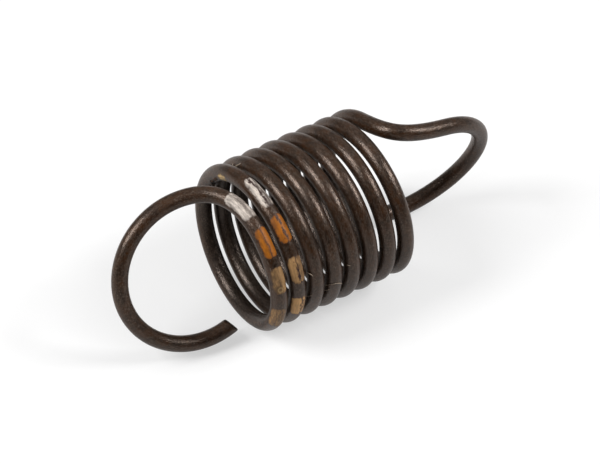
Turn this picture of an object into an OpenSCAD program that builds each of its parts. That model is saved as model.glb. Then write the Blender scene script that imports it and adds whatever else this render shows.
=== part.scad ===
// Extension spring: one length of round wire, wound right-handed into an open coil.
// Each end of the wire bends up over the end of the coil into a full hook of the coil's own radius.
// The coil's axis runs along X and the spring lies on the underside of its turns. Sizes are in millimetres.

/* [Wire] */
// Diameter of the round wire
wire_d = 2; // [1.6:0.1:2.2]
// Slant of the sheared wire ends, in degrees, longest on the outside of the hook
cut_angle = 15; // [0:1:25]
// Width of the bevel round the edge of each sheared end
cut_bevel = 0.2; // [0.05:0.05:0.3]

/* [Coil] */
// Outside diameter of the coil
coil_od = 21; // [18:0.5:26]
// Advance of the coil in one turn, which leaves the turns open
pitch = 2.6; // [2.4:0.1:4]
// Turns in the coil, without its hooks
turns = 7.8; // [4:0.1:12]
// Angle about the coil's axis where the coil begins, in degrees from +Y towards +Z
coil_start = 139.5; // [90:0.5:180]

/* [Hooks] */
// Distance along the axis from each end of the coil to the centre of its hook
hook_standoff = 5.8; // [5:0.1:8]
// Angle about the axis that the front bend turns through between the coil and its hook
front_turn = 73; // [50:1:90]
// Angle about the axis that the back bend turns through between the coil and its hook
back_turn = 38; // [25:1:60]
// Lean of the front hook out of the plane through the coil's axis, in degrees
front_lean = 5.5; // [0:0.5:10]
// Lean of the back hook out of the plane through the coil's axis, in degrees
back_lean = 2; // [0:0.5:10]
// Angle round the front hook at which its round part begins
front_from = 2; // [0:1:20]
// Angle round the back hook at which its round part begins
back_from = 15; // [0:1:25]
// Angle round the front hook at which its wire is cut off, past the half circle
front_to = 200.5; // [180:0.5:205]
// Angle round the back hook at which its wire is cut off, past the half circle
back_to = 196; // [180:0.5:205]
// Length over which each bend eases from the coil into its hook
bend_ease = 18.5; // [12:0.5:20]

/* [Hidden] */
rings_per_turn = 30;
bend_rings = 11;
wire_sides = 14;
step = 360 / rings_per_turn;
wire_r = wire_d / 2;
mean_r = coil_od / 2 - wire_r;
coil_end = coil_start + 360 * turns;
coil_len = pitch * turns;
front_plane = coil_start - front_turn;
back_plane = coil_end + back_turn;

function unit(v) = v / norm(v);
function radial(angle) = [0, cos(angle), sin(angle)];

// A station is a point on the wire's centreline, its heading and the direction that faces outwards there
function coil_point(angle) = mean_r * radial(angle) + [pitch * (angle - coil_start) / 360, 0, 0];
function coil_heading(angle) = unit(mean_r * radial(angle + 90) + [pitch / (2 * PI), 0, 0]);
function coil_station(angle) = [coil_point(angle), coil_heading(angle), radial(angle)];

// A hook is a circle about a point on the axis, side -1 in front of the coil and side 1 behind it
function hook_centre(side) = [side > 0 ? coil_len + hook_standoff : -hook_standoff, 0, 0];
function hook_tip(side, plane, lean) =
    let (ahead = [side, 0, 0])
    cos(lean) * ahead - sin(lean) * cross(radial(plane), ahead);
function hook_station(side, plane, lean, angle) =
    let (
        start = radial(plane),
        tip = hook_tip(side, plane, lean),
        outward = cos(angle) * start + sin(angle) * tip
    )
    [hook_centre(side) + mean_r * outward, cos(angle) * tip - sin(angle) * start, outward];
function turned_back(station) = [station[0], -station[1], station[2]];

// A bend is a cubic curve that leaves one station and meets the next with bend_ease as its pull
function curve_point(from, to, t) =
    from[0] * (2 * pow(t, 3) - 3 * pow(t, 2) + 1) + to[0] * (3 * pow(t, 2) - 2 * pow(t, 3))
    + bend_ease * (from[1] * (pow(t, 3) - 2 * pow(t, 2) + t) + to[1] * (pow(t, 3) - pow(t, 2)));
function curve_heading(from, to, t) = unit(
    (to[0] - from[0]) * (6 * t - 6 * pow(t, 2))
    + bend_ease * (from[1] * (3 * pow(t, 2) - 4 * t + 1) + to[1] * (3 * pow(t, 2) - 2 * t))
);
function square_to(v, heading) = unit(v - (v * heading) * heading);
function bend_station(from, to, t) =
    let (heading = curve_heading(from, to, t))
    [curve_point(from, to, t), heading, square_to(from[2] * (1 - t) + to[2] * t, heading)];
function bend(from, to) = [for (i = [1:bend_rings]) bend_station(from, to, i / (bend_rings + 1))];

// Stations along each hook, from where its round part begins to its cut end
function hook_stations(side, plane, lean, from, to) =
    let (parts = ceil((to - from) / step))
    [for (i = [0:parts]) hook_station(side, plane, lean, from + (to - from) * i / parts)];
front_hook = hook_stations(-1, front_plane, front_lean, front_from, front_to);
back_hook = hook_stations(1, back_plane, back_lean, back_from, back_to);

// The coil's rings stand half a step to each side of the angles straight down, so that its turns lie flat on facets
beside_foot = 270 + step / 2;
least_gap = 0.3;
first_ring = ceil((coil_start - beside_foot) / step + least_gap);
last_ring = floor((coil_end - beside_foot) / step - least_gap);
coil_angles = concat([coil_start], [for (i = [first_ring:last_ring]) beside_foot + i * step], [coil_end]);
coil = [for (angle = coil_angles) coil_station(angle)];

front_path = [for (i = [len(front_hook) - 1:-1:0]) turned_back(front_hook[i])];
path = concat(
    front_path,
    bend(front_path[len(front_path) - 1], coil[0]),
    coil,
    bend(coil[len(coil) - 1], back_hook[0]),
    back_hook
);

// A ring of the wire's surface at a station, slanted where the wire is sheared
function ring(station, r, slant = 0, along = 0) = [
    for (k = [0:wire_sides - 1])
        let (angle = (k + 0.5) * 360 / wire_sides)
        station[0] + r * (cos(angle) * station[2] + sin(angle) * cross(station[1], station[2]))
        + station[1] * (along + wire_r * slant * cos(angle))
];
last = len(path) - 1;
slant = tan(cut_angle);
rings = concat(
    [ring(path[0], wire_r - cut_bevel, -slant), ring(path[0], wire_r, -slant, cut_bevel)],
    [for (i = [1:last - 1]) ring(path[i], wire_r)],
    [ring(path[last], wire_r, slant, -cut_bevel), ring(path[last], wire_r - cut_bevel, slant)]
);

skin = [for (loop = rings) each loop];
low = [for (i = [0:2]) min([for (p = skin) p[i]])];
high = [for (i = [0:2]) max([for (p = skin) p[i]])];
under = [(low[0] + high[0]) / 2, (low[1] + high[1]) / 2, low[2]];

function side_faces(i) = [
    for (k = [0:wire_sides - 1])
        let (
            a = i * wire_sides + k,
            b = i * wire_sides + (k + 1) % wire_sides
        )
        each [[a, a + wire_sides, b], [b, a + wire_sides, b + wire_sides]]
];
faces = concat(
    [[for (k = [0:wire_sides - 1]) k]],
    [for (i = [0:len(rings) - 2]) each side_faces(i)],
    [[for (k = [wire_sides - 1:-1:0]) (len(rings) - 1) * wire_sides + k]]
);

module spring() {
    color([0.24, 0.19, 0.165])
        translate(-under)
            polyhedron(points = skin, faces = faces);
}

spring();
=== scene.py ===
from collections import namedtuple
from math import cos, pi, radians, sin, tau

import bpy
from bpy.props import FloatProperty, FloatVectorProperty, IntProperty, PointerProperty
from mathutils import Matrix, Vector


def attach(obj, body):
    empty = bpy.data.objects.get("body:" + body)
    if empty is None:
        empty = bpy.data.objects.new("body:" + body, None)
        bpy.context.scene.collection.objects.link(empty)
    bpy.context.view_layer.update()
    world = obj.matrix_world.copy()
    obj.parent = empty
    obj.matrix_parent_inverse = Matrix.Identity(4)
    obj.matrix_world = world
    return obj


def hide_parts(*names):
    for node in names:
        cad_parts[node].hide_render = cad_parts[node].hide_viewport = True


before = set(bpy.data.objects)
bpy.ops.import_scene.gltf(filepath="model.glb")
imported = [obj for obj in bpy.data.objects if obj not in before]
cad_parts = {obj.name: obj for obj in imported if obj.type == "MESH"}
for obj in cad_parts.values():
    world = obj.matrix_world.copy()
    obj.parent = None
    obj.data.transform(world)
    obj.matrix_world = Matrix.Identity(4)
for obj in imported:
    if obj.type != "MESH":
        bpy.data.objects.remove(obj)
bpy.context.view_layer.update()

bl_info = {
    "name": "Extension spring",
    "version": (1, 0, 0),
    "blender": (4, 5, 0),
    "location": "View3D > Sidebar > Spring",
    "description": "Dresses an extension spring with its oxide finish, paint dabs and dirt",
    "category": "Add Mesh",
}

NODE = "spring"
MM = 0.001
WIRE_MAP = "wire_map"


# Node maths

class Signal:
    """One socket of a node tree, which Python's operators work on."""

    def __init__(self, net, socket):
        self.net = net
        self.socket = socket

    @property
    def is_vector(self):
        return self.socket.type in {"VECTOR", "RGBA"}

    def __add__(self, other):
        return self.net.maths("ADD", self, other)

    __radd__ = __add__

    def __sub__(self, other):
        return self.net.maths("SUBTRACT", self, other)

    def __rsub__(self, other):
        return self.net.maths("SUBTRACT", other, self)

    def __mul__(self, other):
        return self.net.maths("MULTIPLY", self, other)

    __rmul__ = __mul__

    def __truediv__(self, other):
        return self.net.maths("DIVIDE", self, other)

    def __rtruediv__(self, other):
        return self.net.maths("DIVIDE", other, self)

    def __pow__(self, other):
        return self.net.maths("POWER", self, other)

    def __neg__(self):
        return self * -1

    def __gt__(self, other):
        return self.net.maths("GREATER_THAN", self, other)

    def clamped(self):
        return self.net.node("ShaderNodeClamp", {}, {0: self})

    def parts(self):
        """The three numbers of a vector."""
        return self.net.outputs(self.net.node("ShaderNodeSeparateXYZ", {}, {0: self}), range(3))


class Net:
    """A node tree that is built by writing sums on its sockets."""

    def __init__(self, tree):
        self.tree = tree

    def node(self, kind, settings, values, output=0):
        """Adds a node: first its settings, then a value or a link for each named or numbered input."""
        made = self.tree.nodes.new(kind)
        for name, value in settings.items():
            setattr(made, name, value)
        for key, value in values.items():
            if isinstance(value, Signal):
                self.tree.links.new(value.socket, made.inputs[key])
            else:
                made.inputs[key].default_value = value
        return Signal(self, made.outputs[output])

    def outputs(self, signal, names):
        """Several outputs of the node that a signal comes from."""
        return [Signal(self, signal.socket.node.outputs[name]) for name in names]

    def end(self, kind, name, signal):
        """Leads a signal into the named input of an output node."""
        leave = self.tree.nodes.new(kind)
        self.tree.links.new(signal.socket, leave.inputs[name])

    def maths(self, operation, *values):
        """Adds a Math node for numbers alone, and a Vector Math node as soon as a value is a vector."""
        settings = {"operation": operation}
        numbered = dict(enumerate(values))
        vectors = [value for value in values if not is_number(value)]
        if not vectors:
            return self.node("ShaderNodeMath", settings, numbered)
        if operation == "MULTIPLY" and len(vectors) == 1:
            scale = next(value for value in values if is_number(value))
            return self.node("ShaderNodeVectorMath", {"operation": "SCALE"}, {0: vectors[0], 3: scale})
        output = 1 if operation in {"DOT_PRODUCT", "LENGTH"} else 0
        return self.node("ShaderNodeVectorMath", settings, numbered, output)

    def sine(self, angle):
        return self.maths("SINE", angle)

    def cosine(self, angle):
        return self.maths("COSINE", angle)

    def vector(self, x, y, z):
        return self.node("ShaderNodeCombineXYZ", {}, {0: x, 1: y, 2: z})

    def blend(self, share, first, second):
        """Goes from the first number or vector to the second as share goes from 0 to 1."""
        if is_number(first) and is_number(second):
            return self.node("ShaderNodeMix", {"data_type": "FLOAT"}, {0: share, 2: first, 3: second})
        return self.node("ShaderNodeMix", {"data_type": "VECTOR"}, {0: share, 4: first, 5: second}, 1)

    def tint(self, share, first, second):
        """Goes from the first colour to the second as share goes from 0 to 1."""
        return self.node("ShaderNodeMix", {"data_type": "RGBA"}, {0: share, 6: first, 7: second}, 2)

    def steps(self, value, low, high):
        """Rises smoothly from 0 at low to 1 at high."""
        settings = {"interpolation_type": "SMOOTHSTEP"}
        return self.node("ShaderNodeMapRange", settings, {0: value, 1: low, 2: high, 3: 0.0, 4: 1.0})

    def random(self, low, high, seed):
        """A number from low to high for each point."""
        values = {2: low, 3: high, "Seed": seed}
        return self.node("FunctionNodeRandomValue", {"data_type": "FLOAT"}, values, 1)

    def noise(self, place, scale, detail=3.0, roughness=0.6):
        values = {"Vector": place, "Scale": scale, "Detail": detail, "Roughness": roughness}
        return self.node("ShaderNodeTexNoise", {}, values)


def is_number(value):
    """True for a plain number and for a socket that carries one."""
    if isinstance(value, Signal):
        return not value.is_vector
    return isinstance(value, (int, float))


# Settings

class SpringWireSettings(bpy.types.PropertyGroup):
    """Sizes of the wire and of the path that it is wound on."""

    wire_diameter: FloatProperty(
        name="Wire diameter", description="Diameter of the round wire",
        default=2 * MM, min=1.6 * MM, max=2.2 * MM, subtype="DISTANCE", unit="LENGTH", precision=5)
    scale_depth: FloatProperty(
        name="Scale depth", description="Thickness of the oxide scale over the bare wire",
        default=0.02 * MM, min=0, max=0.05 * MM, subtype="DISTANCE", unit="LENGTH", precision=5)
    coil_diameter: FloatProperty(
        name="Coil diameter", description="Outside diameter of the coil",
        default=21 * MM, min=18 * MM, max=26 * MM, subtype="DISTANCE", unit="LENGTH", precision=5)
    pitch: FloatProperty(
        name="Pitch", description="Advance of the coil in one turn",
        default=2.6 * MM, min=2.4 * MM, max=4 * MM, subtype="DISTANCE", unit="LENGTH", precision=5)
    turns: FloatProperty(
        name="Turns", description="Turns in the coil, without its hooks", default=7.8, min=4, max=12)
    coil_start: FloatProperty(
        name="Coil start", description="Angle about the coil's axis where the coil begins",
        default=radians(139.5), subtype="ANGLE", unit="ROTATION")
    hook_standoff: FloatProperty(
        name="Hook standoff", description="Distance from each end of the coil to its hook's centre",
        default=5.8 * MM, min=5 * MM, max=8 * MM, subtype="DISTANCE", unit="LENGTH", precision=5)
    front_turn: FloatProperty(
        name="Front bend turn", description="Angle about the axis that the front bend turns through",
        default=radians(73), subtype="ANGLE", unit="ROTATION")
    back_turn: FloatProperty(
        name="Back bend turn", description="Angle about the axis that the back bend turns through",
        default=radians(38), subtype="ANGLE", unit="ROTATION")
    front_lean: FloatProperty(
        name="Front hook lean", description="Lean of the front hook out of the plane through the axis",
        default=radians(5.5), subtype="ANGLE", unit="ROTATION")
    back_lean: FloatProperty(
        name="Back hook lean", description="Lean of the back hook out of the plane through the axis",
        default=radians(2), subtype="ANGLE", unit="ROTATION")
    front_from: FloatProperty(
        name="Front hook from", description="Angle round the front hook where its round part begins",
        default=radians(2), subtype="ANGLE", unit="ROTATION")
    back_from: FloatProperty(
        name="Back hook from", description="Angle round the back hook where its round part begins",
        default=radians(15), subtype="ANGLE", unit="ROTATION")
    front_to: FloatProperty(
        name="Front hook to", description="Angle round the front hook where its wire is cut off",
        default=radians(200.5), subtype="ANGLE", unit="ROTATION")
    back_to: FloatProperty(
        name="Back hook to", description="Angle round the back hook where its wire is cut off",
        default=radians(196), subtype="ANGLE", unit="ROTATION")
    bend_ease: FloatProperty(
        name="Bend ease", description="Length over which each bend eases from the coil into its hook",
        default=18.5 * MM, min=12 * MM, max=20 * MM, subtype="DISTANCE", unit="LENGTH", precision=5)
    cut_angle: FloatProperty(
        name="Cut angle", description="Slant of the sheared wire ends",
        default=radians(15), subtype="ANGLE", unit="ROTATION")
    cut_bevel: FloatProperty(
        name="Cut bevel", description="Width of the rounded edge of each sheared end",
        default=0.2 * MM, subtype="DISTANCE", unit="LENGTH", precision=5)
    ring_spacing: FloatProperty(
        name="Ring spacing", description="Distance between the rings of the wire's mesh",
        default=0.29 * MM, min=0.2 * MM, subtype="DISTANCE", unit="LENGTH", precision=5)
    sides: IntProperty(name="Sides", description="Faces round the wire", default=46, min=12, max=64)


class SpringFinishSettings(bpy.types.PropertyGroup):
    """Colours of the wire's oxide and its paint."""

    oxide: FloatVectorProperty(
        name="Oxide", description="Dark brown of the tempered wire", subtype="COLOR",
        default=(0.0100, 0.0040, 0.0014), min=0, max=1)
    oxide_warm: FloatVectorProperty(
        name="Warm oxide", description="Redder brown that clouds the oxide", subtype="COLOR",
        default=(0.036, 0.0122, 0.0022), min=0, max=1)
    glint: FloatVectorProperty(
        name="Glint", description="Pale brown of the grains that catch the light", subtype="COLOR",
        default=(0.165, 0.126, 0.100), min=0, max=1)
    silver: FloatVectorProperty(
        name="Silver paint", description="Colour of the aluminium paint", subtype="COLOR",
        default=(0.69, 0.605, 0.53), min=0, max=1)
    orange: FloatVectorProperty(
        name="Orange paint", description="Colour of the orange paint", subtype="COLOR",
        default=(0.40, 0.124, 0.005), min=0, max=1)
    tan: FloatVectorProperty(
        name="Tan paint", description="Colour of the tan paint", subtype="COLOR",
        default=(0.42, 0.240, 0.10), min=0, max=1)
    drip: FloatVectorProperty(
        name="Drip", description="Pale tan of the drip and of the ring that one has left", subtype="COLOR",
        default=(0.50, 0.34, 0.15), min=0, max=1)
    smudge: FloatVectorProperty(
        name="Smudge", description="Dark purple brown that shows where paint is rubbed",
        subtype="COLOR", default=(0.034, 0.0155, 0.0130), min=0, max=1)


class SpringDirtSettings(bpy.types.PropertyGroup):
    """Sizes and colours of the crumbs and fibres that cling to the wire."""

    crumb_size: FloatProperty(
        name="Crumb size", description="Width of a middling crumb",
        default=0.22 * MM, min=0.02 * MM, max=0.5 * MM, subtype="DISTANCE", unit="LENGTH", precision=5)
    fibre_width: FloatProperty(
        name="Fibre width", description="Thickness of the fibres",
        default=0.07 * MM, min=0.01 * MM, max=0.2 * MM, subtype="DISTANCE", unit="LENGTH", precision=5)
    seed: IntProperty(
        name="Seed", description="Picks another scatter of the same dirt", default=4, min=0)
    crumb: FloatVectorProperty(
        name="Crumb", description="Near black of the old grease crumbs", subtype="COLOR",
        default=(0.008, 0.0055, 0.004), min=0, max=1)
    # Painted highlight: besides rust, these brown patches on the crumbs stand in for the crumbs' small
    # highlights
    rust_and_highlight: FloatVectorProperty(
        name="Rust", description="Rusty brown in the crumbs", subtype="COLOR",
        default=(0.13, 0.050, 0.016), min=0, max=1)
    fibre: FloatVectorProperty(
        name="Fibre", description="Pale grey brown of the fibres", subtype="COLOR",
        default=(0.50, 0.39, 0.29), min=0, max=1)


class SpringStageSettings(bpy.types.PropertyGroup):
    """The camera's place and lens."""

    aim: FloatVectorProperty(
        name="Aim", description="Point that the camera looks at", subtype="XYZ", unit="LENGTH",
        default=(1.99 * MM, 3.64 * MM, 3.93 * MM), precision=5)
    distance: FloatProperty(
        name="Distance", description="Camera's distance from the point it looks at",
        default=401.9 * MM, subtype="DISTANCE", unit="LENGTH", precision=5)
    azimuth: FloatProperty(
        name="Azimuth", description="Camera's bearing about Z, from -Y towards -X",
        default=radians(35.64), subtype="ANGLE", unit="ROTATION")
    elevation: FloatProperty(
        name="Elevation", description="Camera's height above the horizon",
        default=radians(46.91), subtype="ANGLE", unit="ROTATION")
    roll: FloatProperty(
        name="Roll", description="Anticlockwise turn of the camera about its line of sight",
        default=radians(3.56), subtype="ANGLE", unit="ROTATION")
    lens: FloatProperty(name="Lens", description="Focal length in millimetres", default=194.8)


# The wire's mesh

WIRE_SIZES = (
    ("Wire Radius", lambda wire: wire.wire_diameter / 2 + wire.scale_depth),
    ("Coil Radius", lambda wire: (wire.coil_diameter - wire.wire_diameter) / 2),
    ("Pitch", lambda wire: wire.pitch),
    ("Turns", lambda wire: wire.turns),
    ("Coil Start", lambda wire: wire.coil_start),
    ("Hook Standoff", lambda wire: wire.hook_standoff),
    ("Front Turn", lambda wire: wire.front_turn),
    ("Back Turn", lambda wire: wire.back_turn),
    ("Front Lean", lambda wire: wire.front_lean),
    ("Back Lean", lambda wire: wire.back_lean),
    ("Front From", lambda wire: wire.front_from),
    ("Back From", lambda wire: wire.back_from),
    ("Front To", lambda wire: wire.front_to),
    ("Back To", lambda wire: wire.back_to),
    ("Bend Ease", lambda wire: wire.bend_ease),
    ("Cut Angle", lambda wire: wire.cut_angle),
    ("Cut Bevel", lambda wire: wire.cut_bevel),
    ("Ring Spacing", lambda wire: wire.ring_spacing),
    ("Sides", lambda wire: float(wire.sides)),
    ("Axis Height", lambda wire: wire.coil_diameter / 2 + wire.scale_depth),
)


# A point on the wire's centreline, its heading and the direction that faces outwards there
Station = namedtuple("Station", "centre heading outward")

# Rings that close a cut end: those over its flat face and those round its bevelled edge
FLAT_RINGS = 3
EDGE_RINGS = 2
CAP_RINGS = FLAT_RINGS + EDGE_RINGS
# Rings over which a cut end's slant fades out
SLANT_RINGS = 4
# The gap that is closed where the grid's edges meet, and the fewest faces that a wound wire has
MERGE_GAP = 0.002 * MM
LEAST_FACES = 1000


class WirePath:
    """The wire's path as sums on the sockets of a Geometry Nodes tree."""

    def __init__(self, net, size):
        self.net = net
        self.size = size
        self.radius = size["Coil Radius"]
        self.ease = size["Bend Ease"]
        self.coil_end = size["Coil Start"] + size["Turns"] * tau
        self.coil_length = size["Pitch"] * size["Turns"]
        lean_gap = (net.cosine(size["Back Lean"]) - net.cosine(size["Front Lean"])) * self.radius
        self.coil_from = net.vector((self.coil_length + lean_gap) * -0.5, 0.0, size["Axis Height"])
        self.rise = size["Pitch"] / tau
        self.lengths = self.stretch_lengths()

    def radial(self, angle):
        return self.net.vector(0.0, self.net.cosine(angle), self.net.sine(angle))

    def unit(self, vector):
        return self.net.maths("NORMALIZE", vector)

    def skin(self, station, angle):
        """Direction from the centreline to the skin, at an angle round the wire from outward."""
        across = self.net.maths("CROSS_PRODUCT", station.heading, station.outward)
        return station.outward * self.net.cosine(angle) + across * self.net.sine(angle)

    def coil_station(self, share):
        angle = self.size["Coil Start"] + self.size["Turns"] * tau * share
        outward = self.radial(angle)
        advance = self.net.vector(self.rise * (angle - self.size["Coil Start"]), 0.0, 0.0)
        heading = self.radial(angle + pi / 2) * self.radius + self.net.vector(self.rise, 0.0, 0.0)
        return Station(self.coil_from + outward * self.radius + advance, self.unit(heading), outward)

    def hook_station(self, side, share):
        """A hook is a circle about a point on the axis: side is -1 before the coil and 1 after it."""
        net, size = self.net, self.size
        if side > 0:
            name = "Back"
            plane = self.coil_end + size["Back Turn"]
            reach = self.coil_length + size["Hook Standoff"]
        else:
            name = "Front"
            plane = size["Coil Start"] - size["Front Turn"]
            reach = -size["Hook Standoff"]
        angle = size[name + " From"] + (size[name + " To"] - size[name + " From"]) * share
        start = self.radial(plane)
        ahead = net.vector(float(side), 0.0, 0.0)
        across = net.maths("CROSS_PRODUCT", start, ahead)
        tip = ahead * net.cosine(size[name + " Lean"]) - across * net.sine(size[name + " Lean"])
        outward = start * net.cosine(angle) + tip * net.sine(angle)
        heading = (tip * net.cosine(angle) - start * net.sine(angle)) * side
        centre = self.coil_from + net.vector(reach, 0.0, 0.0)
        return Station(centre + outward * self.radius, heading, outward)

    def bend_ends(self, side):
        """The two stations that a bend joins, in their order along the wire."""
        if side < 0:
            return self.hook_station(-1, 0.0), self.coil_station(0.0)
        return self.coil_station(1.0), self.hook_station(1, 0.0)

    def bend_station(self, side, share):
        """A bend is a cubic curve from one station to the next, with the ease as its pull at both."""
        first, second = self.bend_ends(side)
        square = share * share
        cube = square * share
        arrive = square * 3 - cube * 2
        centre = (
            first.centre * (1 - arrive) + second.centre * arrive
            + first.heading * ((cube - square * 2 + share) * self.ease)
            + second.heading * ((cube - square) * self.ease))
        heading = self.unit(
            (second.centre - first.centre) * ((share - square) * 6)
            + first.heading * ((square * 3 - share * 4 + 1) * self.ease)
            + second.heading * ((square * 3 - share * 2) * self.ease))
        between = self.net.blend(share, first.outward, second.outward)
        outward = between - heading * self.net.maths("DOT_PRODUCT", between, heading)
        return Station(centre, heading, self.unit(outward))

    def on_coil(self, along, turned, lift):
        """Point above the coil's skin, from mm along the wire and degrees round it."""
        before = self.lengths[0] + self.lengths[1]
        station = self.coil_station((along * MM - before) / self.lengths[2])
        skin = self.skin(station, turned * radians(1))
        return station.centre + skin * (self.size["Wire Radius"] + lift * MM)

    def stretch_lengths(self):
        """Length of each stretch: front hook, front bend, coil, back bend and back hook."""
        net, size = self.net, self.size
        bends = []
        for side in (-1, 1):
            first, second = self.bend_ends(side)
            pull = self.ease / 3
            gap = second.centre - first.centre
            legs = net.maths("LENGTH", gap - (first.heading + second.heading) * pull) + pull * 2
            bends.append((net.maths("LENGTH", gap) * 2 + legs) / 3)
        turn = (self.radius * self.radius + self.rise * self.rise) ** 0.5 * tau
        front, back = [
            self.radius * (size[name + " To"] - size[name + " From"]) for name in ("Front", "Back")]
        return front, bends[0], turn * size["Turns"], bends[1], back


def begun_tree(label, extra):
    """Starts a tree that takes the wire's sizes, some extra numbers and a material."""
    tree = bpy.data.node_groups.new(label, "GeometryNodeTree")
    names = [name for name, _ in WIRE_SIZES] + extra
    for name in names:
        tree.interface.new_socket(name=name, in_out="INPUT", socket_type="NodeSocketFloat")
    tree.interface.new_socket(name="Material", in_out="INPUT", socket_type="NodeSocketMaterial")
    tree.interface.new_socket(name="Geometry", in_out="OUTPUT", socket_type="NodeSocketGeometry")
    net = Net(tree)
    entry = net.node("NodeGroupInput", {}, {})
    size = dict(zip(names, net.outputs(entry, names)))
    return net, size, net.outputs(entry, ["Material"])[0]


def ended_tree(net, shape, material):
    """Ends a tree in Realize Instances and Set Material."""
    real = net.node("GeometryNodeRealizeInstances", {}, {0: shape})
    coated = net.node("GeometryNodeSetMaterial", {}, {"Geometry": real, "Material": material})
    net.end("NodeGroupOutput", "Geometry", coated)
    return net.tree


def wire_tree():
    """Sweeps a grid along the wire's path: a row of it is a ring, and its end rows close the cuts."""
    net, size, material = begun_tree("Spring wire", [])
    path = WirePath(net, size)
    counts = [net.maths("ROUND", length / size["Ring Spacing"]) for length in path.lengths]
    starts = [CAP_RINGS]
    for count in counts:
        starts.append(starts[-1] + count)
    last_ring = starts[-1] + CAP_RINGS

    grid = net.node("GeometryNodeMeshGrid", {}, {
        "Size X": last_ring, "Size Y": 1.0,
        "Vertices X": last_ring + 1, "Vertices Y": size["Sides"] + 1})
    grid_map = net.outputs(grid, ["UV Map"])[0].parts()
    place = net.node("GeometryNodeInputPosition", {}, {}).parts()
    ring = net.maths("ROUND", place[0] + last_ring * 0.5)
    angle = (place[1] + 0.5) * tau + pi

    shares = [((ring - start) / count).clamped() for start, count in zip(starts, counts)]
    stretches = (
        path.hook_station(-1, 1 - shares[0]),
        path.bend_station(-1, shares[1]),
        path.coil_station(shares[2]),
        path.bend_station(1, shares[3]),
        path.hook_station(1, shares[4]),
    )
    station = stretches[0]
    for start, stretch in zip(starts[1:], stretches[1:]):
        beyond = ring > start
        station = Station(*[net.blend(beyond, old, new) for old, new in zip(station, stretch)])

    from_end = net.maths("MINIMUM", ring, last_ring - ring)
    face_share = (from_end / FLAT_RINGS).clamped()
    edge_angle = ((from_end - FLAT_RINGS) / EDGE_RINGS).clamped() * (pi / 2)
    flat_radius = size["Wire Radius"] - size["Cut Bevel"]
    radius = face_share * flat_radius + net.sine(edge_angle) * size["Cut Bevel"]
    slant_share = (1 - (from_end - CAP_RINGS) / SLANT_RINGS).clamped()
    slant = net.maths("TANGENT", size["Cut Angle"]) * net.cosine(angle) * radius * slant_share
    between_caps = (ring > CAP_RINGS) * (last_ring - CAP_RINGS > ring)
    inset = (1 - net.cosine(edge_angle) - between_caps) * size["Cut Bevel"]
    to_back = (ring > last_ring * 0.5) * 2 - 1
    ahead = to_back * (slant - inset)
    at = station.centre + path.skin(station, angle) * radius + station.heading * ahead
    swept = net.node("GeometryNodeSetPosition", {}, {"Geometry": grid, "Position": at})

    map_ring = grid_map[0] * last_ring
    along = sum(
        ((map_ring - start) / count).clamped() * length
        for start, count, length in zip(starts, counts, path.lengths))
    stored = net.node(
        "GeometryNodeStoreNamedAttribute", {"data_type": "FLOAT2", "domain": "CORNER"},
        {"Geometry": swept, "Name": WIRE_MAP, "Value": net.vector(along / MM, grid_map[1], 0.0)})
    joined = net.node("GeometryNodeMergeByDistance", {}, {"Geometry": stored, "Distance": MERGE_GAP})
    outwards = net.node("GeometryNodeFlipFaces", {}, {"Mesh": joined})
    smooth = net.node("GeometryNodeSetShadeSmooth", {}, {"Geometry": outwards})
    return ended_tree(net, smooth, material)


# The dirt's mesh

# A spot of crumbs: its middle in mm along the wire and degrees round it, its spread in both
# and its count
CrumbSpot = namedtuple("CrumbSpot", "along turned reach sweep count")

CRUMB_SPOTS = (
    CrumbSpot(90.4, 132, reach=0.40, sweep=14, count=9),
    CrumbSpot(91.9, 122, reach=0.45, sweep=12, count=11),
    CrumbSpot(89.4, 158, reach=0.60, sweep=18, count=8),
)
# How high a crumb may stand in mm, its range as shares of the crumb size, and how it is dented
CRUMB_LIFT = 0.03
CRUMB_SMALLEST = 0.45
CRUMB_LARGEST = 1.5
CRUMB_SUBDIVISIONS = 3
CRUMB_DENTS = 9.0
CRUMB_DENT_ROUGHNESS = 0.7
# Seeds, counted from the dirt's own: from spot to spot, and of the crumbs' turns and sizes
SPOT_SEED_STEP = 10
TURN_SEED = 50
SCALE_SEED = 60

# A fibre: its start, pull and end, each as mm along the wire and degrees round it, and the
# height of its middle in mm
Fibre = namedtuple("Fibre", "start pull end height")

FIBRES = (
    Fibre((152.5, 66), (153.5, 100), (154.2, 54), height=0.40),
    Fibre((171.45, 82), (171.35, 52), (171.85, 44), height=0.12),
    Fibre((235.2, 104), (232.9, 19), (234.9, -42), height=0.05),
    Fibre((236.1, 92), (235.6, 75), (235.1, 57), height=0.06),
    Fibre((292.2, 67), (292.1, 55), (292.2, 44), height=0.05),
    Fibre((176.2, 112), (175.7, 85), (174.95, 57), height=0.08),
)
# How high a fibre's ends stand and how far it strays in mm, its mesh, and the shade in it
FIBRE_LIFT = 0.02
FIBRE_SWAY = 0.35
FIBRE_PARTS = 23
FIBRE_SIDES = 8
FIBRE_SHADE = 0.5


def join(net, shapes):
    """Joins several geometries into one."""
    joined = net.node("GeometryNodeJoinGeometry", {}, {})
    for shape in shapes:
        net.tree.links.new(shape.socket, joined.socket.node.inputs[0])
    return joined


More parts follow.
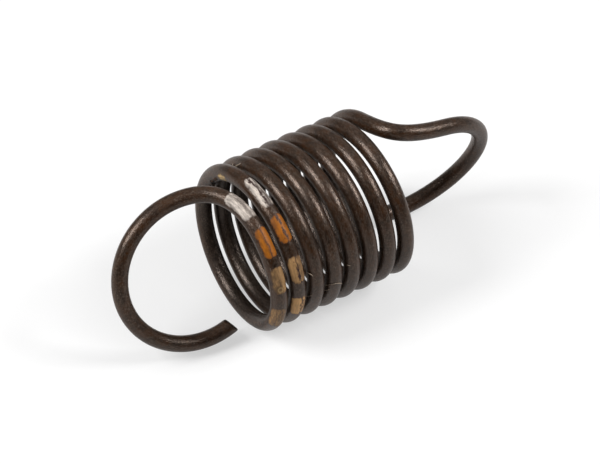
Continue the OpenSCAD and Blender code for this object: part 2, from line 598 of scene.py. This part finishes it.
def crumbs_tree():
    """Scatters small lumps over a few spots of the coil."""
    net, size, material = begun_tree("Spring crumbs", ["Crumb Size", "Seed"])
    path = WirePath(net, size)
    spots = []
    for index, spot in enumerate(CRUMB_SPOTS):
        seed = size["Seed"] + index * SPOT_SEED_STEP
        line = net.node("GeometryNodeMeshLine", {"mode": "OFFSET"}, {"Count": spot.count})
        along = net.random(-spot.reach, spot.reach, seed) + spot.along
        turned = net.random(-spot.sweep, spot.sweep, seed + 1) + spot.turned
        at = path.on_coil(along, turned, net.random(0.0, CRUMB_LIFT, seed + 2))
        spots.append(net.node("GeometryNodeSetPosition", {}, {"Geometry": line, "Position": at}))
    points = net.node("GeometryNodeMeshToPoints", {}, {"Mesh": join(net, spots)})
    lump = net.node("GeometryNodeMeshIcoSphere", {}, {
        "Radius": size["Crumb Size"] * 0.5, "Subdivisions": CRUMB_SUBDIVISIONS})
    turn = net.vector(*[
        net.random(0.0, tau, size["Seed"] + TURN_SEED + axis) for axis in range(3)])
    scale = net.vector(*[
        net.random(CRUMB_SMALLEST, CRUMB_LARGEST, size["Seed"] + SCALE_SEED + axis)
        for axis in range(3)])
    lumps = net.node("GeometryNodeInstanceOnPoints", {}, {
        "Points": points, "Instance": lump, "Rotation": turn, "Scale": scale})
    solid = net.node("GeometryNodeRealizeInstances", {}, {0: lumps})
    place = net.node("GeometryNodeInputPosition", {}, {}) * (1 / MM)
    normal = net.node("GeometryNodeInputNormal", {}, {})
    lumpy = net.noise(place, CRUMB_DENTS, roughness=CRUMB_DENT_ROUGHNESS)
    dent = (lumpy - 0.5) * size["Crumb Size"]
    rough = net.node("GeometryNodeSetPosition", {}, {"Geometry": solid, "Offset": normal * dent})
    return ended_tree(net, rough, material)


def fibres_tree():
    """Lays thin fibres over the coil's skin."""
    net, size, material = begun_tree("Spring fibres", ["Fibre Width", "Seed"])
    path = WirePath(net, size)
    strands = []
    for index, fibre in enumerate(FIBRES):
        line = net.node("GeometryNodeMeshLine", {"mode": "OFFSET"}, {"Count": FIBRE_PARTS + 1})
        share = net.node("GeometryNodeInputIndex", {}, {}) * (1 / FIBRE_PARTS)
        rest = 1 - share
        weights = (rest * rest, rest * share * 2, share * share)
        marks = (fibre.start, fibre.pull, fibre.end)
        along = sum(weight * mark[0] for weight, mark in zip(weights, marks))
        turned = sum(weight * mark[1] for weight, mark in zip(weights, marks))
        sway = net.noise(net.vector(share * 3, float(index), size["Seed"]), 1.0) - 0.5
        height = weights[1] * (fibre.height * 2) + FIBRE_LIFT
        at = path.on_coil(along + sway * FIBRE_SWAY, turned, height)
        strands.append(net.node("GeometryNodeSetPosition", {}, {"Geometry": line, "Position": at}))
    curve = net.node("GeometryNodeMeshToCurve", {}, {"Mesh": join(net, strands)})
    ring = net.node("GeometryNodeCurvePrimitiveCircle", {}, {
        "Resolution": FIBRE_SIDES, "Radius": size["Fibre Width"] * 0.5})
    tube = net.node("GeometryNodeCurveToMesh", {}, {
        "Curve": curve, "Profile Curve": ring, "Fill Caps": True})
    smooth = net.node("GeometryNodeSetShadeSmooth", {}, {"Geometry": tube})
    return ended_tree(net, smooth, material)


def grown(name, tree, values):
    """Evaluates a Geometry Nodes tree on an empty mesh, and returns a plain mesh object."""
    seed = bpy.data.objects.new(name + ".seed", bpy.data.meshes.new(name + ".seed"))
    bpy.context.scene.collection.objects.link(seed)
    modifier = seed.modifiers.new("Shape", "NODES")
    modifier.node_group = tree
    for item in tree.interface.items_tree:
        if item.item_type == "SOCKET" and item.in_out == "INPUT":
            modifier[item.identifier] = values[item.name]
    graph = bpy.context.evaluated_depsgraph_get()
    mesh = bpy.data.meshes.new_from_object(seed.evaluated_get(graph), depsgraph=graph)
    seed.modifiers.remove(modifier)
    bpy.data.objects.remove(seed)
    piece = bpy.data.objects.new(name, mesh)
    bpy.context.scene.collection.objects.link(piece)
    return piece


# The wire's finish

# A pattern of noise in mm on the wire's skin. Its share is how fast it is read along the wire,
# and a small share draws the pattern out
Pattern = namedtuple("Pattern", "share scale detail roughness")

PATTERNS = {
    "cloud": Pattern(0.60, scale=1.1, detail=6.0, roughness=0.72),
    "grain": Pattern(0.60, scale=5.0, detail=2.5, roughness=0.60),
    "lines": Pattern(0.05, scale=6.0, detail=2.0, roughness=0.60),
    "burnish": Pattern(0.30, scale=1.2, detail=3.0, roughness=0.60),
    "glint": Pattern(0.70, scale=6.5, detail=4.0, roughness=0.80),
    "ragged": Pattern(1.00, scale=1.5, detail=5.0, roughness=0.75),
    "fleck": Pattern(0.28, scale=3.8, detail=4.0, roughness=0.75),
    "mottle": Pattern(0.60, scale=1.5, detail=5.0, roughness=0.65),
    "score": Pattern(0.16, scale=3.2, detail=3.0, roughness=0.70),
    "wander": Pattern(0.60, scale=2.0, detail=3.0, roughness=0.80),
    "speck": Pattern(0.42, scale=4.5, detail=3.0, roughness=0.70),
}

# Bands over which a mask rises: on a pattern, in mm along the wire, or in degrees round it
WARM_CLOUD = (0.36, 0.66)
GLINT_BAND = (0.46, 0.72)
BURNISH_BAND = (0.35, 0.65)
COIL_BEGINS = (46.0, 56.0)
COIL_ENDS = (504.0, 514.0)
SHADED_INNER_SIDE = (95.0, 140.0)

# Painted shade: near black that darkens the inner side of the coil's turns, where the coil shades itself,
# and how far it does so
PAINTED_INNER_SHADE = (0.004, 0.003, 0.0025, 1)
PAINTED_INNER_SHADE_SHARE = 0.8
DULL_ROUGHNESS = 0.35
BURNISHED_ROUGHNESS = 0.28
GLINT_POLISH = 0.06
GLINT_METAL = 0.8
WIRE_BUMP = 0.05 * MM
WIRE_LINES = 0.2
WIRE_SHEEN = (1.0, 0.82, 0.715, 1.0)
WIRE_IOR = 1.52
PAINT_IOR = 1.36
PAINT_BUMP = 0.03 * MM
PAINT_GRAIN = 0.6
PAINT_ROUGHNESS = 0.52
DIRT_ROUGHNESS = 0.6
DIRT_PATCH = (0.50, 0.62)

# A dab of paint: its ends along the wire in mm, its sides round it in degrees, its corner in mm,
# how far it has worn, how strongly it is rubbed along its middle, how full its colour is and,
# above 1, how much its paint is brightened as painted light, and how evenly its lower side is coated
Dab = namedtuple("Dab", "paint start end low high corner worn streak fresh thin")

DABS = (
    Dab("silver", 39.75, 43.8, -60, 64, corner=0.55, worn=0.62, streak=0.40, fresh=0.95, thin=0.45),
    Dab("silver", 98.3, 102.7, -60, 45, corner=0.80, worn=0.58, streak=1.00, fresh=1.02, thin=0.22),
    Dab("orange", 45.1, 48.15, -60, 50, corner=0.55, worn=0.25, streak=0.75, fresh=0.65, thin=1.10),
    Dab("orange", 103.75, 107.1, -60, 55, corner=0.80, worn=0.30, streak=0.95, fresh=0.65, thin=1.10),
    Dab("tan", 49.3, 52.7, -58, 60, corner=0.95, worn=0.45, streak=0.30, fresh=0.42, thin=1.28),
    Dab("tan", 108.75, 112.1, -60, 62, corner=0.80, worn=0.35, streak=1.00, fresh=1.14, thin=0.50),
    Dab("tan", 54.9, 58.9, -32, 96, corner=0.85, worn=0.75, streak=0.40, fresh=0.98, thin=0.70),
    Dab("tan", 114.2, 117.4, -34, 74, corner=0.45, worn=0.30, streak=0.90, fresh=2.10, thin=0.30),
    Dab("drip", 93.35, 95.05, 76, 138, corner=0.30, worn=0.70, streak=0.00, fresh=1.20, thin=1.00),
)
PAINT_DEPTH = {"silver": 0.46, "orange": 0.58, "tan": 0.36, "drip": 0.5}

# How paint wears: edges in mm, the rubbed line in degrees, and the rest as shares
RAGGED_EDGE = 0.7
CRISP_EDGE = 0.04
WORN_EDGE = 0.14
RIM_BAND = (-0.30, 0.0)
RIM_WEAR = 0.4
RUB_LINE_TURN = -3
RUB_LINE_REACH = 17
RUB_LINE_WANDER = 70
RUB_LINE_SPECKS = 3.0
RUB_LINE_BAND = (0.30, 0.85)
UPPER_BAND = (-14.0, 10.0)
UPPER_WANDER = 0.4
SCORE_BAND = (0.40, 0.60)
SCORE_FLECKS = 0.5
BARE_FROM = 0.80
BARE_WEAR = 0.35
BARE_BAND = 0.12
BARE_BELOW = 0.08
BARE_SHARE = 0.85
FULL_FROM = 0.70
FULL_FRESH = 0.30
FULL_BAND = 0.13
FULL_BELOW = 0.2
LOWER_SCORES = 0.8
LOWER_COAT = 0.85
UPPER_SCORES = 0.7

# The ring that a drip has left on a dab: its place in mm along the wire and degrees round it,
# and its radius and soft edge in mm
DRIP_RING_PLACE = (52.1, 10.6)
DRIP_RING_RADIUS = 0.27
DRIP_RING_EDGE = (0.02, 0.14)
DRIP_RING_SHARE = 0.45


def begun_shader(block):
    """Gives a new material or world an empty node tree."""
    block.use_nodes = True
    block.node_tree.nodes.clear()
    return Net(block.node_tree)


def wire_places(net):
    """Returns the mm along the wire, the degrees round it and a seamless place in mm."""
    mapped = net.node("ShaderNodeUVMap", {"uv_map": WIRE_MAP}, {}).parts()
    turned = (mapped[1] - 0.5) * 360
    angle = turned * radians(1)
    return mapped[0], turned, net.vector(mapped[0], net.cosine(angle), net.sine(angle))


def pattern(net, place, name):
    """Reads one of the patterns at a place on the wire."""
    kind = PATTERNS[name]
    drawn_out = net.node("ShaderNodeMapping", {}, {"Vector": place, "Scale": (kind.share, 1.0, 1.0)})
    return net.noise(drawn_out, kind.scale, kind.detail, kind.roughness)


def edge_distance(net, dab, along, turned):
    """Distance in mm from a dab's outline, which is less than 0 inside it."""
    degree = radians(1)
    middle = (dab.start + dab.end) / 2
    middle_turn = (dab.low + dab.high) / 2
    half_length = (dab.end - dab.start) / 2
    half_width = (dab.high - dab.low) / 2 * degree
    off_end = net.maths("ABSOLUTE", along - middle) - (half_length - dab.corner)
    off_side = net.maths("ABSOLUTE", (turned - middle_turn) * degree) - (half_width - dab.corner)
    outside = net.vector(net.maths("MAXIMUM", off_end, 0.0), net.maths("MAXIMUM", off_side, 0.0), 0.0)
    inside = net.maths("MINIMUM", net.maths("MAXIMUM", off_end, off_side), 0.0)
    return net.maths("LENGTH", outside) + inside - dab.corner


def painted(net, finish, along, turned, place):
    """Lays every dab of paint: returns the paint's colour, and how much of the wire it covers."""
    ragged = (pattern(net, place, "ragged") - 0.5) * RAGGED_EDGE
    fleck = pattern(net, place, "fleck")
    mottle = pattern(net, place, "mottle")
    speck = pattern(net, place, "speck")
    wander = (pattern(net, place, "wander") - 0.5) * RUB_LINE_WANDER
    off_line = net.maths("ABSOLUTE", turned - RUB_LINE_TURN + wander)
    rub_line = 1 - off_line / RUB_LINE_REACH + (speck - 0.5) * RUB_LINE_SPECKS
    rubbed = net.steps(rub_line, *RUB_LINE_BAND)
    upper = net.steps(turned + wander * UPPER_WANDER, *UPPER_BAND)
    scored = net.steps(pattern(net, place, "score") + (fleck - 0.5) * SCORE_FLECKS, *SCORE_BAND)
    smudge = (*finish.smudge, 1)
    colour = smudge
    cover = 0
    for dab in DABS:
        distance = edge_distance(net, dab, along, turned) + ragged
        softness = CRISP_EDGE + dab.worn * WORN_EDGE
        share = 1 - net.steps(distance, -softness, softness)

        # Painted light: a dab's freshness above 1 brightens its paint, standing in for more light falling
        # on that dab
        paint = tuple(channel * max(1, dab.fresh) for channel in getattr(finish, dab.paint))
        deep = tuple(channel * PAINT_DEPTH[dab.paint] for channel in paint)
        full_at = FULL_FROM - dab.fresh * FULL_FRESH
        fullness = mottle + (1 - upper) * (dab.thin - 0.5) * FULL_BELOW
        full = net.steps(fullness, full_at - FULL_BAND, full_at + FULL_BAND)
        coat = net.tint(full, (*deep, 1), (*paint, 1))

        lower_coat = scored * (1 - dab.thin) * LOWER_SCORES + dab.thin * LOWER_COAT
        upper_coat = 1 - (1 - scored) * dab.worn * UPPER_SCORES
        thickness = net.blend(upper, lower_coat, upper_coat)
        thickness = thickness * (1 - net.steps(distance, *RIM_BAND) * RIM_WEAR)
        thickness = thickness * (1 - rubbed * dab.streak)
        colour = net.tint(share, colour, net.tint(thickness, smudge, coat))

        bare_at = BARE_FROM - dab.worn * BARE_WEAR
        bare = net.steps(fleck + (1 - upper) * BARE_BELOW, bare_at, bare_at + BARE_BAND)
        cover = net.maths("MAXIMUM", cover, share * (1 - bare * BARE_SHARE))

    off_along = along - DRIP_RING_PLACE[0]
    off_turn = (turned - DRIP_RING_PLACE[1]) * radians(1)
    off_middle = net.maths("LENGTH", net.vector(off_along, off_turn, 0.0))
    off_ring = net.maths("ABSOLUTE", off_middle - DRIP_RING_RADIUS)
    ring = (1 - net.steps(off_ring, *DRIP_RING_EDGE)) * DRIP_RING_SHARE
    return net.tint(ring, colour, (*finish.drip, 1)), cover


def wire_material(finish):
    """Dark tempered wire with drawing grain, specks that catch the light, painted shade on the coil's
    inner side, and worn dabs of paint.
    """
    material = bpy.data.materials.new("tempered_wire")
    net = begun_shader(material)
    along, turned, place = wire_places(net)
    cloud = pattern(net, place, "cloud")
    grain = pattern(net, place, "grain")
    lines = pattern(net, place, "lines")
    burnish = net.steps(pattern(net, place, "burnish"), *BURNISH_BAND)
    glint = net.steps(pattern(net, place, "glint"), *GLINT_BAND)
    in_coil = net.steps(along, *COIL_BEGINS) * (1 - net.steps(along, *COIL_ENDS))
    # Painted shade: a mask over the side of each turn that faces the coil's axis, where the coil shades
    # itself
    inside = net.steps(net.maths("ABSOLUTE", turned), *SHADED_INNER_SIDE) * in_coil

    colour = net.tint(net.steps(cloud, *WARM_CLOUD), (*finish.oxide, 1), (*finish.oxide_warm, 1))
    # Painted shade: the coil's inner side is darkened towards near black
    colour = net.tint(inside * PAINTED_INNER_SHADE_SHARE, colour, PAINTED_INNER_SHADE)
    colour = net.tint(glint, colour, (*finish.glint, 1))
    roughness = net.blend(burnish, DULL_ROUGHNESS, BURNISHED_ROUGHNESS) - glint * GLINT_POLISH
    bump = net.node("ShaderNodeBump", {}, {
        "Strength": 1.0, "Distance": WIRE_BUMP, "Height": grain + lines * WIRE_LINES})
    wire = net.node("ShaderNodeBsdfPrincipled", {}, {
        "Base Color": colour, "Roughness": roughness, "Metallic": glint * GLINT_METAL,
        "IOR": WIRE_IOR, "Specular Tint": WIRE_SHEEN, "Normal": bump})

    paint_colour, cover = painted(net, finish, along, turned, place)
    raised = net.node("ShaderNodeBump", {}, {
        "Strength": 1.0, "Distance": PAINT_BUMP, "Height": cover + grain * PAINT_GRAIN})
    paint = net.node("ShaderNodeBsdfPrincipled", {}, {
        "Base Color": paint_colour, "Roughness": PAINT_ROUGHNESS,
        "IOR": PAINT_IOR, "Normal": raised})
    coated = net.node("ShaderNodeMixShader", {}, {0: cover, 1: wire, 2: paint})
    net.end("ShaderNodeOutputMaterial", "Surface", coated)
    return material


def dirt_material(name, colour, second, scale):
    """Matt dirt of two colours that are mixed in small patches; on the crumbs the rust brown patches are
    also painted highlights.
    """
    material = bpy.data.materials.new(name)
    net = begun_shader(material)
    place = net.node("ShaderNodeTexCoord", {}, {}, "Object") * (1 / MM)
    patch = net.steps(net.noise(place, scale), *DIRT_PATCH)
    mixed = net.tint(patch, (*colour, 1), (*second, 1))
    matt = net.node("ShaderNodeBsdfPrincipled", {}, {
        "Base Color": mixed, "Roughness": DIRT_ROUGHNESS})
    net.end("ShaderNodeOutputMaterial", "Surface", matt)
    return material


# The stage

# Half of the floor's width in metres, and its own grey
FLOOR_HALF_WIDTH = 3.0
FLOOR_GREY = 0.42
# What the floor adds to its lit grey where the camera sees it, and where a reflection does
FLOOR_GLOW = 0.55
FLOOR_GLOW_IN_GLOSS = 0.28

# The room's level of light from its walls to its ceiling, and the way to what is behind the spring
WALL_LEVEL = 0.01
CEILING_LEVEL = 0.42
CEILING_BAND = (0.15, 1.05)
BEHIND = (0.583, 0.813)
BEHIND_SHARE = 0.35

# A soft box: the way to it from the spring, its width and height in metres and its power in watts
SoftBox = namedtuple("SoftBox", "name way width height power")

SOFT_BOXES = (
    SoftBox("left_box", (-0.69, 0.20, 0.69), width=0.22, height=0.30, power=2.85),
    SoftBox("right_box", (0.60, -0.37, 0.71), width=0.21, height=0.21, power=2.3),
)
SOFT_BOX_DISTANCE = 0.6
# The camera's sensor in millimetres, and the nearest distance that it sees in metres
SENSOR_WIDTH = 36
NEAREST_SEEN = 0.01


def lay_floor():
    """A wide white sheet that the camera and reflections see a little brighter than it is lit."""
    mesh = bpy.data.meshes.new("floor")
    half = FLOOR_HALF_WIDTH
    corners = [(-half, -half, 0), (half, -half, 0), (half, half, 0), (-half, half, 0)]
    mesh.from_pydata(corners, [], [(0, 1, 2, 3)])
    floor = bpy.data.objects.new("floor", mesh)
    bpy.context.scene.collection.objects.link(floor)
    material = bpy.data.materials.new("floor_white")
    net = begun_shader(material)
    camera, gloss, through = net.outputs(
        net.node("ShaderNodeLightPath", {}, {}),
        ("Is Camera Ray", "Is Glossy Ray", "Is Transmission Ray"))
    strength = (camera + through) * FLOOR_GLOW + gloss * FLOOR_GLOW_IN_GLOSS
    matt = net.node("ShaderNodeBsdfDiffuse", {}, {"Color": (FLOOR_GREY, FLOOR_GREY, FLOOR_GREY, 1)})
    glow = net.node("ShaderNodeEmission", {}, {"Color": (1, 1, 1, 1), "Strength": strength})
    sheet = net.node("ShaderNodeAddShader", {}, {0: matt, 1: glow})
    net.end("ShaderNodeOutputMaterial", "Surface", sheet)
    mesh.materials.append(material)


def light_world(scene):
    """A grey room whose ceiling is paler than its walls, most of all behind the spring."""
    world = bpy.data.worlds.new("studio")
    net = begun_shader(world)
    towards = net.node("ShaderNodeTexCoord", {}, {}).parts()
    behind = towards[0] * BEHIND[0] + towards[1] * BEHIND[1]
    ceiling = net.steps(towards[2] + behind * BEHIND_SHARE, *CEILING_BAND)
    level = net.blend(ceiling, WALL_LEVEL, CEILING_LEVEL)
    room = net.node("ShaderNodeBackground", {}, {"Color": (1, 1, 1, 1), "Strength": level})
    net.end("ShaderNodeOutputWorld", "Surface", room)
    scene.world = world


def hang_lights(scene):
    """Two soft boxes, one to each side of the camera."""
    for box in SOFT_BOXES:
        data = bpy.data.lights.new(box.name, "AREA")
        data.shape = "RECTANGLE"
        data.size = box.width
        data.size_y = box.height
        data.energy = box.power
        lamp = bpy.data.objects.new(box.name, data)
        way = Vector(box.way).normalized()
        turn = way.to_track_quat("Z", "Y").to_matrix().to_4x4()
        lamp.matrix_world = Matrix.Translation(way * SOFT_BOX_DISTANCE) @ turn
        scene.collection.objects.link(lamp)


def place_camera(scene, stage):
    """A long lens at the photograph's angle."""
    data = bpy.data.cameras.new("camera")
    data.lens = stage.lens
    data.sensor_width = SENSOR_WIDTH
    data.clip_start = NEAREST_SEEN
    camera = bpy.data.objects.new("camera", data)
    flat = cos(stage.elevation)
    way = Vector((-sin(stage.azimuth) * flat, -cos(stage.azimuth) * flat, sin(stage.elevation)))
    turn = way.to_track_quat("Z", "Y").to_matrix().to_4x4() @ Matrix.Rotation(stage.roll, 4, "Z")
    camera.matrix_world = Matrix.Translation(Vector(stage.aim) + way * stage.distance) @ turn
    scene.collection.objects.link(camera)
    scene.camera = camera


# Operators

class SPRING_OT_wire(bpy.types.Operator):
    """Wind the wire into its coil, bends and hooks, and give it its finish"""

    bl_idname = "spring.wire"
    bl_label = "Wind wire"

    def execute(self, context):
        wire = context.scene.spring_wire
        values = {name: value(wire) for name, value in WIRE_SIZES}
        values["Material"] = wire_material(context.scene.spring_finish)
        piece = grown("spring_wire", wire_tree(), values)
        if len(piece.data.polygons) < LEAST_FACES:
            raise RuntimeError("the wire's tree gave no skin")
        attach(piece, "root")
        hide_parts(NODE)
        return {"FINISHED"}


class SPRING_OT_dirt(bpy.types.Operator):
    """Scatter the crumbs of old grease and the fibres that cling to the coil"""

    bl_idname = "spring.dirt"
    bl_label = "Scatter dirt"

    def execute(self, context):
        wire = context.scene.spring_wire
        dirt = context.scene.spring_dirt
        sizes = {name: value(wire) for name, value in WIRE_SIZES}
        sizes["Seed"] = float(dirt.seed)
        shaded = tuple(channel * FIBRE_SHADE for channel in dirt.fibre)
        # The crumbs' second colour is rust brown, whose patches are also painted highlights
        crumbs = grown("spring_crumbs", crumbs_tree(), {
            **sizes, "Crumb Size": dirt.crumb_size,
            "Material": dirt_material("crumb", dirt.crumb, dirt.rust_and_highlight, scale=7.0)})
        fibres = grown("spring_fibres", fibres_tree(), {
            **sizes, "Fibre Width": dirt.fibre_width,
            "Material": dirt_material("fibre", dirt.fibre, shaded, scale=2.0)})
        for piece in (crumbs, fibres):
            if not piece.data.polygons:
                raise RuntimeError(piece.name + " came out empty")
            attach(piece, "root")
        return {"FINISHED"}


class SPRING_OT_stage(bpy.types.Operator):
    """Lay the floor, set the studio's light and place the camera"""

    bl_idname = "spring.stage"
    bl_label = "Set stage"

    def execute(self, context):
        scene = context.scene
        lay_floor()
        light_world(scene)
        hang_lights(scene)
        place_camera(scene, scene.spring_stage)
        scene.view_settings.view_transform = "Standard"
        return {"FINISHED"}


class SPRING_PT_panel(bpy.types.Panel):
    """Lists the steps that make the spring"""

    bl_idname = "SPRING_PT_panel"
    bl_label = "Extension spring"
    bl_space_type = "VIEW_3D"
    bl_region_type = "UI"
    bl_category = "Spring"

    def draw(self, context):
        column = self.layout.column()
        for operator in OPERATORS:
            column.operator(operator.bl_idname)
        for setting, _ in SETTINGS:
            box = column.box()
            group = getattr(context.scene, setting)
            for name in group.__annotations__:
                box.prop(group, name)


OPERATORS = (SPRING_OT_wire, SPRING_OT_dirt, SPRING_OT_stage)
SETTINGS = (
    ("spring_wire", SpringWireSettings),
    ("spring_finish", SpringFinishSettings),
    ("spring_dirt", SpringDirtSettings),
    ("spring_stage", SpringStageSettings),
)


def register():
    for name, group in SETTINGS:
        bpy.utils.register_class(group)
        setattr(bpy.types.Scene, name, PointerProperty(type=group))
    for operator in OPERATORS:
        bpy.utils.register_class(operator)
    bpy.utils.register_class(SPRING_PT_panel)


def unregister():
    bpy.utils.unregister_class(SPRING_PT_panel)
    for operator in reversed(OPERATORS):
        bpy.utils.unregister_class(operator)
    for name, group in reversed(SETTINGS):
        delattr(bpy.types.Scene, name)
        bpy.utils.unregister_class(group)


def main():
    register()
    bpy.ops.spring.wire()
    bpy.ops.spring.dirt()
    bpy.ops.spring.stage()


if __name__ == "__main__":
    main()
